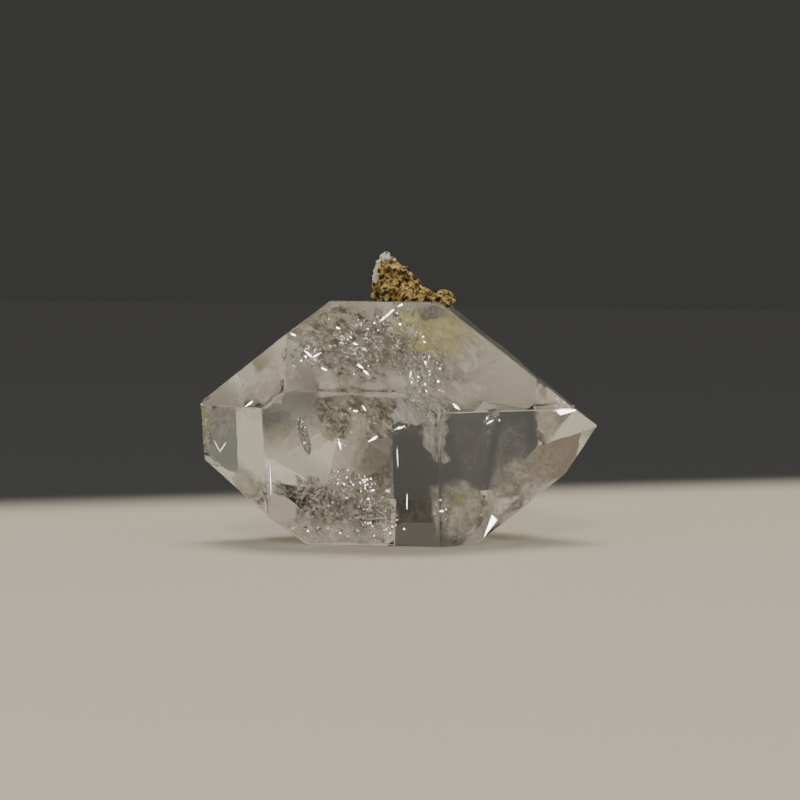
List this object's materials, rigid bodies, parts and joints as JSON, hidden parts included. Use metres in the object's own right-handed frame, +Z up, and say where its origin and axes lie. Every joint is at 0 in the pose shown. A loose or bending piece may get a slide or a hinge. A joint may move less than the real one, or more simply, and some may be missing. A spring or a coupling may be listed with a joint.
{
  "type": "herkimer diamond",
  "caption": "Clear doubly terminated quartz crystal lying on one flat prism face, with a small sugary tan rock fragment standing on its top face.",
  "frame": {"origin": "middle of the part's footprint on the surface it rests on", "axes": "+X along the crystal's long axis towards its sharper end, +Z up, -Y towards the viewer of the picture"},
  "size_m": [0.04, 0.028, 0.0297],
  "materials": {
    "clear_quartz": "clear, glossy natural crystal faces with internal veils",
    "dolostone": "rough, sugary tan to ochre grains with pale grey patches"
  },
  "bodies": {
    "root": {"quartz_crystal": "clear_quartz", "matrix_fragment": "dolostone"}
  },
  "joints": []
}
